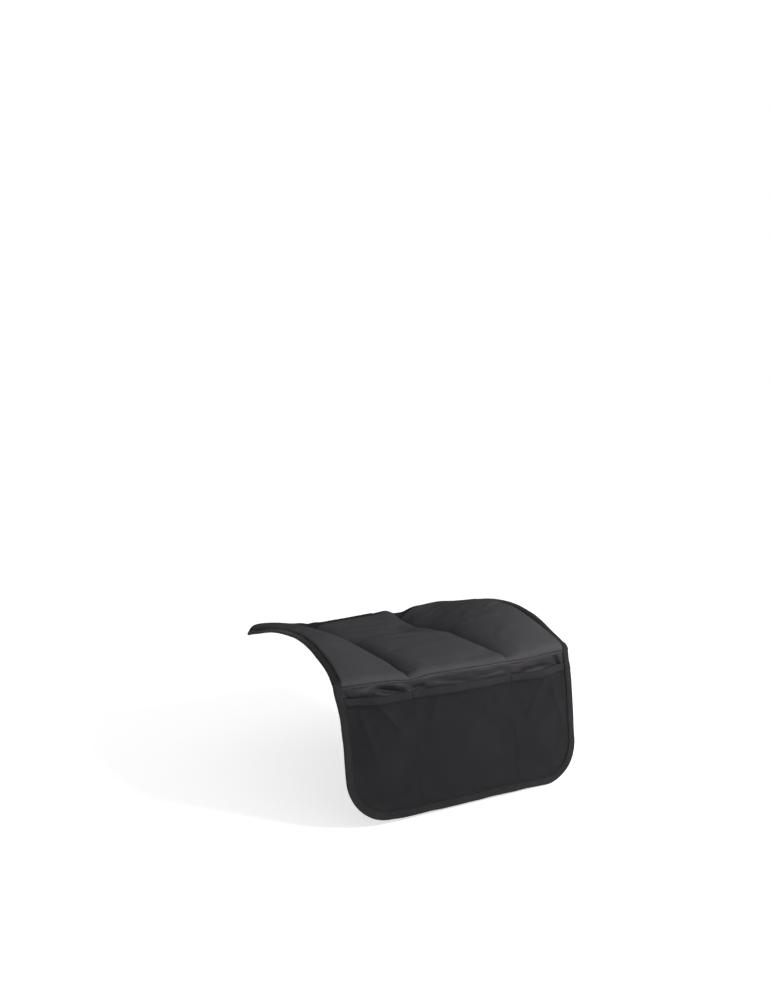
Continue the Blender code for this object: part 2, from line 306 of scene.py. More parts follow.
def cover_under(u, v):
    """Underside of the cover before the cloth is simulated."""
    lap = FLAP + GAP + GAP
    flat = LOW_COVER + GAP + lap * (1.0 - smooth((v - 0.010) / 0.005))
    return flat + np.maximum(PAD_RISE * puff(u, v) - (flat - LOW_COVER - GAP) * puff(u, v), 0.0)


def foam_top(u, v):
    """The foam gives way under every hollow fold of the cover."""
    hollows = [(a, b, c, 1.2 * long, 1.9 * wide, 1.15 * tall) for a, b, c, long, wide, tall in PAD_FOLDS if tall < 0]
    return cover_under(u, v) - GAP - 0.0001 + creased(u, v, hollows) * smooth(puff(u, v) / 0.3)


def pocket_lift(u, v):
    """How far the pocket cloth stands off the flap."""
    half = half_width(v, BINDING)
    au = np.abs(u)
    inside = np.cos(0.5 * math.pi * np.minimum(au / STITCH_X, 1.0))
    outside = np.sin(math.pi * np.clip((au - STITCH_X) / (half - STITCH_X), 0.0, 1.0))
    across = np.clip(np.where(au <= STITCH_X, inside, outside), 0.0, 1.0)
    low = -(FLAP_LENGTH - BINDING)
    rise = (v - low) / (MESH_TOP - low)
    along = np.sin(0.5 * math.pi * np.clip(rise / 0.45, 0.0, 1.0)) ** 0.8
    along = along * (1.0 - 0.50 * smooth((rise - 0.45) / 0.55))
    return across ** (0.9 + 0.7 * smooth((rise - 0.5) / 0.5)) * along


def creased(u, v, table):
    """Sum of long soft folds: (u, v) of the middle, direction in degrees, half length, half width, height."""
    total = np.zeros(np.broadcast(u, v).shape)
    for cu, cv, angle, long, wide, tall in table:
        c, s = math.cos(math.radians(angle)), math.sin(math.radians(angle))
        along = (u - cu) * c + (v - cv) * s
        aside = -(u - cu) * s + (v - cv) * c
        total += tall * np.exp(-((along / long) ** 4) - (aside / wide) ** 2)
    return total


# across the middle panel, the right panel, along the inner edge of the left panel
PAD_FOLDS = [
    (-0.044, 0.214, -16.0, 0.028, 0.0070, 0.0026),
    (0.000, 0.200, -24.0, 0.024, 0.0070, 0.0022),
    (-0.024, 0.190, -20.0, 0.046, 0.0065, -0.0018),
    (0.028, 0.309, -19.0, 0.044, 0.0095, 0.0030),
    (0.026, 0.288, -19.0, 0.040, 0.0085, -0.0018),
    (-0.015, 0.347, -12.0, 0.050, 0.0100, 0.0014),
    (0.126, 0.188, -36.0, 0.022, 0.0075, 0.0034),
    (0.160, 0.160, -42.0, 0.026, 0.0075, 0.0030),
    (0.144, 0.194, -40.0, 0.038, 0.0080, -0.0024),
    (0.140, 0.262, -34.0, 0.034, 0.0085, 0.0026),
    (0.197, 0.198, 12.0, 0.016, 0.0065, 0.0026),
    (0.199, 0.214, 8.0, 0.016, 0.0060, -0.0014),
    (-0.198, 0.169, -72.0, 0.022, 0.0044, -0.0026),
    (-0.184, 0.143, -50.0, 0.022, 0.0044, -0.0028),
    (-0.200, 0.146, -60.0, 0.034, 0.0050, 0.0018),
    (-0.060, 0.030, -70.0, 0.030, 0.0070, 0.0008),
    (0.035, 0.120, 12.0, 0.060, 0.0120, 0.0009),
    (-0.170, 0.060, -35.0, 0.035, 0.0090, 0.0009),
    (0.190, 0.080, -30.0, 0.040, 0.0110, 0.0009),
]

# on the open strip of the flap between the seam and the pockets
STRIP_FOLDS = [
    (-0.136, -0.0180, -15.0, 0.024, 0.0055, -0.0078),
    (-0.128, -0.0085, -14.0, 0.024, 0.0036, 0.0020),
    (-0.190, -0.0115, -8.0, 0.018, 0.0045, 0.0022),
    (-0.221, -0.0120, -72.0, 0.0075, 0.0018, 0.0024),
    (-0.2165, -0.0125, -66.0, 0.0085, 0.0020, -0.0026),
    (-0.083, -0.0180, 10.0, 0.012, 0.0050, -0.0062),
    (-0.108, -0.0110, 28.0, 0.014, 0.0040, 0.0022),
    (-0.020, -0.0170, -8.0, 0.035, 0.0048, -0.0022),
    (0.060, -0.0155, 6.0, 0.035, 0.0050, -0.0020),
    (0.206, -0.0140, -58.0, 0.0110, 0.0034, -0.0060),
    (0.2145, -0.0140, -62.0, 0.0100, 0.0026, 0.0024),
    (0.165, -0.0195, 4.0, 0.030, 0.0050, -0.0036),
    (0.130, -0.0110, -10.0, 0.030, 0.0050, 0.0018),
]

# below, behind and over the pockets
FLAP_FOLDS = [
    (-0.160, -0.070, 62.0, 0.040, 0.0070, 0.0008),
    (0.150, -0.060, -50.0, 0.045, 0.0080, 0.0008),
    (0.0, -0.090, 80.0, 0.050, 0.0100, 0.0007),
]
NET_FOLDS = [
    (-0.150, -0.060, -52.0, 0.036, 0.0050, 0.0035),
    (-0.190, -0.090, -74.0, 0.050, 0.0060, 0.0032),
    (-0.175, -0.052, 24.0, 0.030, 0.0050, 0.0029),
    (-0.064, -0.064, 70.0, 0.034, 0.0060, 0.0022),
    (0.052, -0.088, -54.0, 0.048, 0.0070, 0.0018),
    (-0.012, -0.150, 78.0, 0.044, 0.0090, 0.0016),
    (0.148, -0.070, 55.0, 0.036, 0.0058, 0.0030),
    (0.195, -0.085, -70.0, 0.040, 0.0050, 0.0032),
    (-0.130, -0.175, 20.0, 0.040, 0.0060, 0.0026),
    (0.140, -0.180, -16.0, 0.045, 0.0060, 0.0026),
]


def net_height(u, v, folded=True):
    lift = pocket_lift(u, v)
    folds = creased(u, v, NET_FOLDS) * smooth(lift / 0.35) if folded else 0.0
    sewn = 0.0008 * smooth((np.abs(np.abs(u) - STITCH_X) - 0.0008) / 0.0022) * smooth((0.208 - np.abs(u)) / 0.012)
    return FLAP + GAP + MESH + 0.8 * POCKET_BULGE * lift + folds + sewn


def strip_swell(u, v, folded=True):
    """The open strip under the front seam hangs out a little and turns in behind the pocket tape."""
    out = np.clip(np.where(v > -0.0100, (-0.0044 - v) / 0.0056, (v + 0.0245) / 0.0145), 0.0, 1.0)
    side = smooth((0.2235 - np.abs(u)) / 0.010)
    shape = np.sin(0.5 * math.pi * out) ** 1.3
    folds = shape ** 0.5 * creased(u, v, STRIP_FOLDS) if folded else 0.0
    return side * (shape * (0.0022 + 0.0006 * waves(u, v, 5, 0.09)) + folds)


print("surface ready")

# ---------------------------------------------------------------- mesh helpers


def link(name, points, faces, uvs=None, shade=True):
    mesh = bpy.data.meshes.new(name)
    mesh.from_pydata(np.asarray(points, float).reshape(-1, 3).tolist(), [], faces)
    if uvs is not None:
        layer = mesh.uv_layers.new(name="cloth")
        corner = np.zeros(len(mesh.loops), np.int32)
        mesh.loops.foreach_get("vertex_index", corner)
        flat = np.asarray(uvs, np.float32).reshape(-1, 2)[corner]
        layer.data.foreach_set("uv", flat.ravel())
    mesh.validate()
    mesh.update()
    if shade:
        mesh.shade_smooth()
    made = bpy.data.objects.new(name, mesh)
    scene.collection.objects.link(made)
    return made


def grid_faces(rows, columns, offset=0, flip=False):
    i = np.arange(rows - 1)[:, None]
    j = np.arange(columns - 1)[None, :]
    a = i * columns + j + offset
    quads = np.stack([a, a + 1, a + columns + 1, a + columns], axis=-1).reshape(-1, 4)
    return (quads[:, ::-1] if flip else quads).tolist()


def closed_sheet(name, u, v, top, bottom):
    """A closed sheet from its top and bottom points on one grid."""
    rows, columns = u.shape
    count = rows * columns
    points = np.concatenate([top.reshape(-1, 3), bottom.reshape(-1, 3)])
    faces = grid_faces(rows, columns) + grid_faces(rows, columns, count, flip=True)
    rim = (
        [(0, j) for j in range(columns)]
        + [(i, columns - 1) for i in range(1, rows)]
        + [(rows - 1, j) for j in range(columns - 2, -1, -1)]
        + [(i, 0) for i in range(rows - 2, 0, -1)]
    )
    loop = [i * columns + j for i, j in rim]
    for k, p in enumerate(loop):
        q = loop[(k + 1) % len(loop)]
        faces.append((p, p + count, q + count, q))
    uv = np.stack([u, v], axis=-1).reshape(-1, 2)
    return link(name, points, faces, np.concatenate([uv, uv]))


def sweep(name, sections, closed, uvs):
    """A tube through sections of the same number of points (sections, points, 3)."""
    count, size = sections.shape[:2]
    faces = []
    for k in range(count if closed else count - 1):
        here, there = k * size, ((k + 1) % count) * size
        for m in range(size):
            n = (m + 1) % size
            faces.append((here + m, here + n, there + n, there + m))
    if not closed:
        faces.append(tuple(range(size))[::-1])
        faces.append(tuple(range((count - 1) * size, count * size)))
    return link(name, sections, faces, uvs)


def recalculated(obj):
    """Faces turned outwards."""
    import bmesh

    work = bmesh.new()
    work.from_mesh(obj.data)
    bmesh.ops.recalc_face_normals(work, faces=work.faces)
    work.to_mesh(obj.data)
    work.free()
    obj.data.shade_smooth()
    return obj


def spread(start, stop, step, fine=(), fine_step=0.001):
    """Positions from start to stop at this step, and closer together around the fine spots (place, reach)."""
    spots = [start]
    while spots[-1] < stop - 1e-9:
        here = spots[-1]
        width = step
        for centre, reach in fine:
            gap = abs(here + 0.5 * step - centre) - reach
            if gap < step:
                width = min(width, fine_step + max(0.0, gap) * 0.6)
        spots.append(min(stop, here + max(fine_step, width)))
    if len(spots) > 2 and spots[-1] - spots[-2] < 0.4 * fine_step:
        spots.pop(-2)
    return np.array(spots)


def symmetric_columns(step, fine_reach=0.005, fine_step=0.001):
    right = spread(0.0, 1.0, step / HALF_WIDTH, [(STITCH_X / HALF_WIDTH, fine_reach / HALF_WIDTH)], fine_step / HALF_WIDTH)
    return np.concatenate([-right[:0:-1], right]) * HALF_WIDTH


FIXED = 0.140


def sheet_grid(rows, columns, inset):
    """u and v of a sheet that ends this far inside the outline: columns close in at the rounded corners."""
    half = half_width(rows, inset)[:, None]
    c = columns[None, :]
    out = np.clip((np.abs(c) - FIXED) / (HALF_WIDTH - FIXED), 0.0, 1.0)
    u = np.sign(c) * np.where(np.abs(c) <= FIXED, np.abs(c), FIXED + (half - FIXED) * out)
    v = np.broadcast_to(rows[:, None], u.shape)
    return u, v.copy()


def pad_rows(start, step, inset, fine=()):
    end = PAD_LENGTH - inset
    r = REAR_RADIUS - inset
    straight = spread(start, end - r, step, fine)
    arc = end - r * (1.0 - np.sin(np.linspace(0.0, 0.5 * math.pi, 12)))
    return np.concatenate([straight, arc[1:]])


def flap_rows(stop, step, inset, fine=()):
    end = -(FLAP_LENGTH - inset)
    r = FRONT_RADIUS - inset
    arc = end + r * (1.0 - np.sin(np.linspace(0.5 * math.pi, 0.0, 26)))
    return np.concatenate([arc[:-1], spread(end + r, stop, step, fine)])


# ---------------------------------------------------------------- cloth simulation


def simulate(u, v, height, pins, growth, pressure, gravity, bend, frames=18, cap=0.006, push=None):
    """Lets the cloth between its seams settle, and returns how far each point of the grid moved.

    The sheet is cut a little larger than the space between its seams (growth), pressed
    outwards by its filling (pressure) and pulled down by its weight (gravity)."""
    rows, columns = u.shape
    start = place(u, v, height)
    mesh = bpy.data.meshes.new("settling")
    first = start if push is None else start + push
    mesh.from_pydata(first.reshape(-1, 3).tolist(), [], grid_faces(rows, columns))
    mesh.update()
    cloth = bpy.data.objects.new("settling", mesh)
    scene.collection.objects.link(cloth)
    group = cloth.vertex_groups.new(name="pins")
    flat = pins.reshape(-1)
    for level in np.unique(flat[flat > 0]):
        group.add(np.nonzero(flat == level)[0].tolist(), float(level), "REPLACE")
    made = cloth.modifiers.new("settle", "CLOTH")
    values = made.settings
    values.quality = 5
    values.mass = 0.2
    values.tension_stiffness = values.compression_stiffness = 25.0
    values.shear_stiffness = 8.0
    values.bending_stiffness = bend
    values.tension_damping = values.compression_damping = values.shear_damping = 12.0
    values.bending_damping = 1.0
    values.air_damping = 3.0
    values.vertex_group_mass = "pins"
    values.pin_stiffness = 10.0
    values.shrink_min = -growth
    values.use_pressure = pressure != 0
    values.uniform_pressure_force = pressure
    values.effector_weights.gravity = gravity
    made.collision_settings.use_collision = False
    made.collision_settings.use_self_collision = False
    made.point_cache.frame_start = 1
    made.point_cache.frame_end = frames
    scene.frame_start, scene.frame_end = 1, frames
    for number in range(1, frames + 1):
        scene.frame_set(number)
    graph = bpy.context.evaluated_depsgraph_get()
    settled = cloth.evaluated_get(graph).to_mesh()
    found = np.zeros(len(settled.vertices) * 3, np.float32)
    settled.vertices.foreach_get("co", found)
    cloth.evaluated_get(graph).to_mesh_clear()
    bpy.data.objects.remove(cloth, do_unlink=True)
    bpy.data.meshes.remove(mesh)
    scene.frame_set(1)
    moved = found.reshape(rows, columns, 3).astype(float) - start
    moved[~np.isfinite(moved)] = 0.0
    size = np.linalg.norm(moved, axis=-1, keepdims=True)
    moved *= np.minimum(1.0, cap / np.maximum(size, 1e-9))
    return moved


def softened(field, passes=1):
    """The field with its point-to-point jitter taken out."""
    for _ in range(passes):
        padded = np.pad(field, ((1, 1), (1, 1), (0, 0)), mode="edge")
        field = (
            4 * padded[1:-1, 1:-1] + padded[:-2, 1:-1] + padded[2:, 1:-1]
            + padded[1:-1, :-2] + padded[1:-1, 2:]
        ) / 8.0
    return field


class Moved:
    """A displacement simulated on a plain grid, read at any cloth coordinates."""

    def __init__(self, u, v, field):
        self.low = (u[0, 0], v[0, 0])
        self.cell = (u[0, 1] - u[0, 0], v[1, 0] - v[0, 0])
        self.field = field.transpose(1, 0, 2)

    def at(self, u, v):
        return sample(self.field, u, v, self.low, self.cell)


def plain_grid(u0, u1, v0, v1, step):
    us = np.linspace(u0, u1, int(round((u1 - u0) / step)) + 1)
    vs = np.linspace(v0, v1, int(round((v1 - v0) / step)) + 1)
    u, v = np.meshgrid(us, vs)
    return u, v


def settle_cover():
    """The quilted cover: sewn down along its seams and edges, pressed up by the foam."""
    u, v = plain_grid(-0.232, 0.232, 0.0, 0.428, 0.004)
    height = cover_under(u, v) + COVER
    edge = edge_distance(u, np.maximum(v, 0.05))
    pins = np.zeros(u.shape)
    pins[(edge < 0.0125) | (v < 0.0065) | (np.abs(np.abs(u) - STITCH_X) < 0.0015)] = 1.0
    start = 0.0004 * waves(u, v, 11, 0.06)[..., None] * ups(u, v) * (1 - pins)[..., None]
    moved = simulate(u, v, height, pins, 0.0045, 1.2, 0.0, 2.5, push=start, cap=0.004)
    moved *= (1 - pins)[..., None]
    return Moved(u, v, softened(moved, 2))


def settle_flap():
    """The flap cloth, held by the front seam, the binding and the pocket seams, hanging a little loose."""
    u, v = plain_grid(-0.232, 0.232, -0.228, 0.004, 0.004)
    edge = edge_distance(u, v)
    pins = np.zeros(u.shape)
    pins[(edge < 0.0105) | (v > -0.007)] = 1.0
    pins[(np.abs(np.abs(u) - STITCH_X) < 0.0021) & (v < MESH_TOP)] = 1.0
    start = 0.0015 * waves(u, v, 23, 0.06)[..., None] * ups(u, v) * (1 - pins)[..., None]
    height = FLAP + strip_swell(u, v, False)
    moved = simulate(u, v, height, pins, 0.008, 0.0, 0.5, 0.5, push=start, cap=0.004)
    moved *= (1 - pins)[..., None]
    return Moved(u, v, softened(moved, 1))


def settle_net():
    """The pocket cloth: sewn at both sides, the bottom and the two seams, free but for its tape at the top."""
    u, v = plain_grid(-0.232, 0.232, -0.228, -0.024, 0.004)
    edge = edge_distance(u, v)
    pins = np.zeros(u.shape)
    pins[(edge < 0.0105) | (np.abs(np.abs(u) - STITCH_X) < 0.0021)] = 1.0
    pins[(v > TAPE_BOTTOM - 0.001) & (pins == 0)] = 0.35
    height = net_height(u, v, False)
    start = 0.0012 * waves(u, v, 37, 0.05)[..., None] * ups(u, v) * (1 - pins)[..., None]
    moved = simulate(u, v, height, pins, 0.007, 0.15, 1.0, 0.4, push=start, cap=0.004)
    moved *= (1 - np.where(pins >= 1, 1.0, 0.0))[..., None]
    return Moved(u, v, softened(moved, 1))


class Still:
    def at(self, u, v):
        return np.zeros(np.broadcast(u, v).shape + (3,))


import time

clock = time.time()
cover_moved = settle_cover()
print("cover settled", round(time.time() - clock, 1))
flap_moved = settle_flap()
print("flap settled", round(time.time() - clock, 1))
net_moved = settle_net()
print("net settled", round(time.time() - clock, 1))


def along_up(moved, u, v):
    """The part of a displacement across the sheet."""
    return (moved * ups(u, v)).sum(-1)


def cover_shift(u, v):
    """The cover's displacement: never into the foam."""
    moved = cover_moved.at(u, v)
    n = ups(u, v)
    lift = (moved * n).sum(-1)
    return moved + n * (np.maximum(lift, -0.0001) - lift)[..., None]


def flap_shift(u, v):
    """The flap's displacement: it keeps off the pocket cloth near the seams that join them."""
    moved = flap_moved.at(u, v)
    n = ups(u, v)
    lift = (moved * n).sum(-1)
    room = np.where(v < MESH_TOP + 0.004, 0.35 * POCKET_BULGE * pocket_lift(u, v), 0.004)
    return moved + n * (np.minimum(lift, room) - lift)[..., None]


def net_shift(u, v):
    moved = net_moved.at(u, v)
    n = ups(u, v)
    lift = (moved * n).sum(-1)
    low = -0.35 * POCKET_BULGE * pocket_lift(u, v)
    return moved + n * (np.maximum(lift, low) - lift)[..., None]


# ---------------------------------------------------------------- materials


class Nodes:
    """A short way to write a material's nodes."""

    def __init__(self, name):
        self.material = bpy.data.materials.new(name)
        self.material.use_nodes = True
        self.tree = self.material.node_tree
        self.shader = self.tree.nodes["Principled BSDF"]

    def node(self, kind, **values):
        made = self.tree.nodes.new(kind)
        for key, value in values.items():
            setattr(made, key, value)
        return made

    def wire(self, a, b):
        self.tree.links.new(a, b)

    def math(self, operation, a, b=None, clamp=False):
        made = self.node("ShaderNodeMath", operation=operation, use_clamp=clamp)
        for socket, value in zip(made.inputs, (a, b)):
            if value is None:
                continue
            if isinstance(value, (int, float)):
                socket.default_value = value
            else:
                self.wire(value, socket)
        return made.outputs[0]

    def cloth_uv(self):
        if not hasattr(self, "uv"):
            source = self.node("ShaderNodeUVMap", uv_map="cloth")
            split = self.node("ShaderNodeSeparateXYZ")
            self.wire(source.outputs[0], split.inputs[0])
            self.uv = source.outputs[0], split.outputs[0], split.outputs[1]
        return self.uv

    def noise(self, scale, detail=2.0, vector=None, rough=0.5):
        made = self.node("ShaderNodeTexNoise")
        made.inputs["Scale"].default_value = scale
        made.inputs["Detail"].default_value = detail
        made.inputs["Roughness"].default_value = rough
        if vector is None:
            place_ = self.node("ShaderNodeTexCoord")
            vector = place_.outputs["Object"]
        self.wire(vector, made.inputs["Vector"])
        return made.outputs["Fac"]

    def ramp(self, value, stops):
        made = self.node("ShaderNodeValToRGB")
        bar = made.color_ramp
        while len(bar.elements) < len(stops):
            bar.elements.new(0.5)
        for element, (position, colour) in zip(bar.elements, stops):
            element.position = position
            element.color = (*colour, 1.0) if len(colour) == 3 else colour
        self.wire(value, made.inputs[0])
        return made.outputs[0]

    def weave(self, pitch):
        """Height of a plain weave: warp and weft threads that pass over each other by turns."""
        _, u, v = self.cloth_uv()
        turn = 2 * math.pi / (2 * pitch)
        across = self.math("SINE", self.math("MULTIPLY", u, turn))
        down = self.math("SINE", self.math("MULTIPLY", v, turn))
        over = self.math("MULTIPLY", across, down)
        warp = self.math("ABSOLUTE", self.math("SINE", self.math("MULTIPLY", u, turn * 2)))
        weft = self.math("ABSOLUTE", self.math("SINE", self.math("MULTIPLY", v, turn * 2)))
        threads = self.math("MULTIPLY", self.math("ADD", warp, weft), 0.35)
        return self.math("ADD", over, threads)

    def bump(self, height, strength, distance, below=None):
        made = self.node("ShaderNodeBump")
        made.inputs["Strength"].default_value = strength
        made.inputs["Distance"].default_value = distance
        self.wire(height, made.inputs["Height"])
        if below is not None:
            self.wire(below, made.inputs["Normal"])
        return made.outputs[0]

    def set(self, **values):
        for key, value in values.items():
            self.shader.inputs[key.replace("_", " ")].default_value = value


def cover_cloth():
    n = Nodes("charcoal_polyester_cloth")
    weave = n.weave(0.00042)
    mottle = n.noise(900.0, 2.0)
    cloud = n.noise(14.0, 3.0)
    slub = n.noise(330.0, 2.0)
    mixed = n.math("ADD", n.math("MULTIPLY", mottle, 0.20), n.math("MULTIPLY", cloud, 0.35))
    mixed = n.math("ADD", mixed, n.math("MULTIPLY", slub, 0.45))
    thread = n.math("MULTIPLY", weave, 0.05)
    tone = n.ramp(n.math("ADD", mixed, thread), [
        (0.22, (0.0410, 0.0396, 0.0424)), (0.50, (0.0480, 0.0464, 0.0498)), (0.80, (0.0550, 0.0532, 0.0572)),
    ])
    n.wire(tone, n.shader.inputs["Base Color"])
    fine = n.bump(weave, 0.35, 0.00010)
    soft = n.bump(n.noise(260.0, 3.0), 0.10, 0.0006, fine)
    n.wire(soft, n.shader.inputs["Normal"])
    rough = n.ramp(mottle, [(0.3, (0.56,) * 3), (0.7, (0.68,) * 3)])
    n.wire(rough, n.shader.inputs["Roughness"])
    n.set(Sheen_Weight=0.0, Specular_IOR_Level=0.0)
    return n.material


def flap_cloth(name="dark_flap_cloth", light=1.0):
    n = Nodes(name)
    weave = n.weave(0.00030)
    cloud = n.noise(22.0, 3.0)
    tone = n.ramp(n.math("ADD", cloud, n.math("MULTIPLY", weave, 0.04)), [
        (0.25, tuple(light * c for c in (0.0215, 0.0200, 0.0226))),
        (0.55, tuple(light * c for c in (0.0255, 0.0236, 0.0266))),
        (0.80, tuple(light * c for c in (0.0300, 0.0280, 0.0312))),
    ])
    n.wire(tone, n.shader.inputs["Base Color"])
    fine = n.bump(weave, 0.25, 0.00008)
    soft = n.bump(n.noise(120.0, 4.0), 0.16, 0.0012, fine)
    n.wire(soft, n.shader.inputs["Normal"])
    n.set(Roughness=0.50, Sheen_Weight=0.03, Sheen_Roughness=0.35, Sheen_Tint=(0.8, 0.76, 0.86, 1.0), Specular_IOR_Level=0.10)
    return n.material


def net_cloth():
    """A fine sheer knit: rounded holes in staggered rows."""
    n = Nodes("black_net_cloth")
    _, u, v = n.cloth_uv()
    pitch = 0.00125
    a = n.math("SINE", n.math("MULTIPLY", u, 2 * math.pi / pitch))
    b = n.math("SINE", n.math("MULTIPLY", v, 2 * math.pi / (pitch * 1.15)))
    cell = n.math("MULTIPLY", a, b)
    high = n.math("ABSOLUTE", cell)
    solid = n.math("SUBTRACT", 1.0, n.math("MULTIPLY", n.math("SUBTRACT", high, 0.30), 5.0), clamp=True)
    n.wire(solid, n.shader.inputs["Alpha"])
    tone = n.ramp(n.noise(30.0, 3.0), [(0.3, (0.0135, 0.0128, 0.0142)), (0.7, (0.0175, 0.0166, 0.0184))])
    n.wire(tone, n.shader.inputs["Base Color"])
    n.wire(n.bump(high, 0.5, 0.0002), n.shader.inputs["Normal"])
    n.set(Roughness=0.62, Sheen_Weight=0.0, Specular_IOR_Level=0.06)
    return n.material


def tape_cloth(name, light=1.0):
    """Ribbed binding tape: fine cross ribs and a little lint."""
    n = Nodes(name)
    _, u, v = n.cloth_uv()
    ribs = n.math("SINE", n.math("MULTIPLY", u, 2 * math.pi / 0.0009))
    cross = n.math("SINE", n.math("MULTIPLY", v, 2 * math.pi / 0.0006))
    weave = n.math("ADD", ribs, n.math("MULTIPLY", n.math("MULTIPLY", ribs, cross), 0.5))
    cloud = n.noise(40.0, 3.0)
    tone = n.ramp(n.math("ADD", cloud, n.math("MULTIPLY", weave, 0.03)), [
        (0.25, tuple(light * c for c in (0.0140, 0.0134, 0.0143))),
        (0.75, tuple(light * c for c in (0.0185, 0.0177, 0.0189))),
    ])
    n.wire(tone, n.shader.inputs["Base Color"])
    fine = n.bump(weave, 0.45, 0.00010)
    soft = n.bump(n.noise(200.0, 3.0), 0.12, 0.0008, fine)
    n.wire(soft, n.shader.inputs["Normal"])
    n.set(Roughness=0.60, Sheen_Weight=0.0, Specular_IOR_Level=0.06)
    return n.material


def thread_finish(name, colour):
    n = Nodes(name)
    tone = n.ramp(n.noise(300.0, 2.0), [
        (0.3, tuple(0.8 * c for c in colour)), (0.7, tuple(1.2 * c for c in colour)),
    ])
    n.wire(tone, n.shader.inputs["Base Color"])
    n.wire(n.bump(n.noise(2500.0, 1.0), 0.3, 0.0001), n.shader.inputs["Normal"])
    n.set(Roughness=0.50, Sheen_Weight=0.02, Specular_IOR_Level=0.15)
    return n.material


def backing_cloth():
    n = Nodes("anti_slip_cloth")
    weave = n.weave(0.0005)
    tone = n.ramp(n.noise(30.0, 3.0), [(0.3, (0.018, 0.018, 0.019)), (0.7, (0.028, 0.028, 0.029))])
    n.wire(tone, n.shader.inputs["Base Color"])
    n.wire(n.bump(weave, 0.4, 0.00012), n.shader.inputs["Normal"])
    n.set(Roughness=0.82, Sheen_Weight=0.1, Specular_IOR_Level=0.3)
    return n.material


def rubber_dots():
    n = Nodes("anti_slip_rubber")
    tone = n.ramp(n.noise(400.0, 2.0), [(0.3, (0.012, 0.012, 0.013)), (0.7, (0.020, 0.020, 0.021))])
    n.wire(tone, n.shader.inputs["Base Color"])
    n.wire(n.bump(n.noise(1500.0, 2.0), 0.2, 0.0001), n.shader.inputs["Normal"])
    n.set(Roughness=0.42, Specular_IOR_Level=0.5)
    return n.material


def foam_finish():
    n = Nodes("grey_foam_cells")
    cells = n.node("ShaderNodeTexVoronoi")
    cells.inputs["Scale"].default_value = 900.0
    at = n.node("ShaderNodeTexCoord")
    n.wire(at.outputs["Object"], cells.inputs["Vector"])
    tone = n.ramp(cells.outputs["Distance"], [(0.1, (0.24, 0.24, 0.245)), (0.6, (0.38, 0.38, 0.39))])
    n.wire(tone, n.shader.inputs["Base Color"])
    n.wire(n.bump(cells.outputs["Distance"], 0.6, 0.0005), n.shader.inputs["Normal"])
    n.set(Roughness=0.95, Specular_IOR_Level=0.2)
    return n.material


CLOTH = cover_cloth()
LINING = flap_cloth("dark_flap_cloth", 0.80)
NET = net_cloth()
EDGE_TAPE = tape_cloth("black_binding_tape")
TOP_TAPE = tape_cloth("black_pocket_tape", 1.05)
# the front seam's tuck is the flap cloth made lighter (1.50 against 0.80): a painted highlight for its rounded top
# catching the light
FOLD_PAINTED_HIGHLIGHT = flap_cloth("fold_cloth_painted_highlight", 1.50)
DARK_THREAD = thread_finish("black_thread", (0.012, 0.0115, 0.013))
SEAM_THREAD = thread_finish("thick_black_thread", (0.0055, 0.0053, 0.0058))
GRIP = backing_cloth()
DOTS = rubber_dots()
SPONGE = foam_finish()


def finish(obj, material, slot, *nodes):
    obj.data.materials.clear()
    obj.data.materials.append(material)
    if nodes:
        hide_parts(*nodes)
    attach(obj, "root")
    return obj


# ---------------------------------------------------------------- pad: cover, foam, backing


def cover_top(u, v):
    """Height of the cover's upper side, with its turned front edge and the small dips at the seams."""
    height = cover_under(u, v) + COVER + creased(u, v, PAD_FOLDS) * smooth(puff(u, v) / 0.6)
    return height - 0.0013 * (1.0 - smooth((v + 0.0014) / 0.0022))


def build_cover():
    columns = symmetric_columns(0.0028, 0.009, 0.0013)
    rows = pad_rows(-0.0014, 0.0028, 0.0006, [(0.003, 0.005)])
    u, v = sheet_grid(rows, columns, 0.0006)
    shift = cover_shift(u, v)
    top = place(u, v, cover_top(u, v)) + shift
    bottom = place(u, v, cover_top(u, v) - 0.0008) + shift
    cover = closed_sheet("quilted_cover", u, v, top, bottom)
    finish(cover, CLOTH, "charcoal_polyester", "top_cover")
    return cover


def build_foam(name, low, high, node):
    columns = np.linspace(low, high, int(abs(high - low) / 0.005) + 1)
    rows = spread(0.020, PAD_LENGTH - BINDING, 0.005)
    u, v = np.meshgrid(columns, rows)
    v = v + 0 * u
    rim = np.minimum(np.minimum(u - low, high - u), np.minimum(v - rows[0], rows[-1] - v))
    height = foam_top(u, v) - 0.0002
    top = place(u, v, height) + 0.9 * np.maximum(along_up(cover_shift(u, v), u, v), 0.0)[..., None] * ups(u, v) * smooth(rim / 0.02)[..., None]
    bottom = place(u, v, BACKING + GAP)
    pad = closed_sheet(name, u, v, top, bottom)
    finish(pad, SPONGE, "grey_foam", node)
    return pad


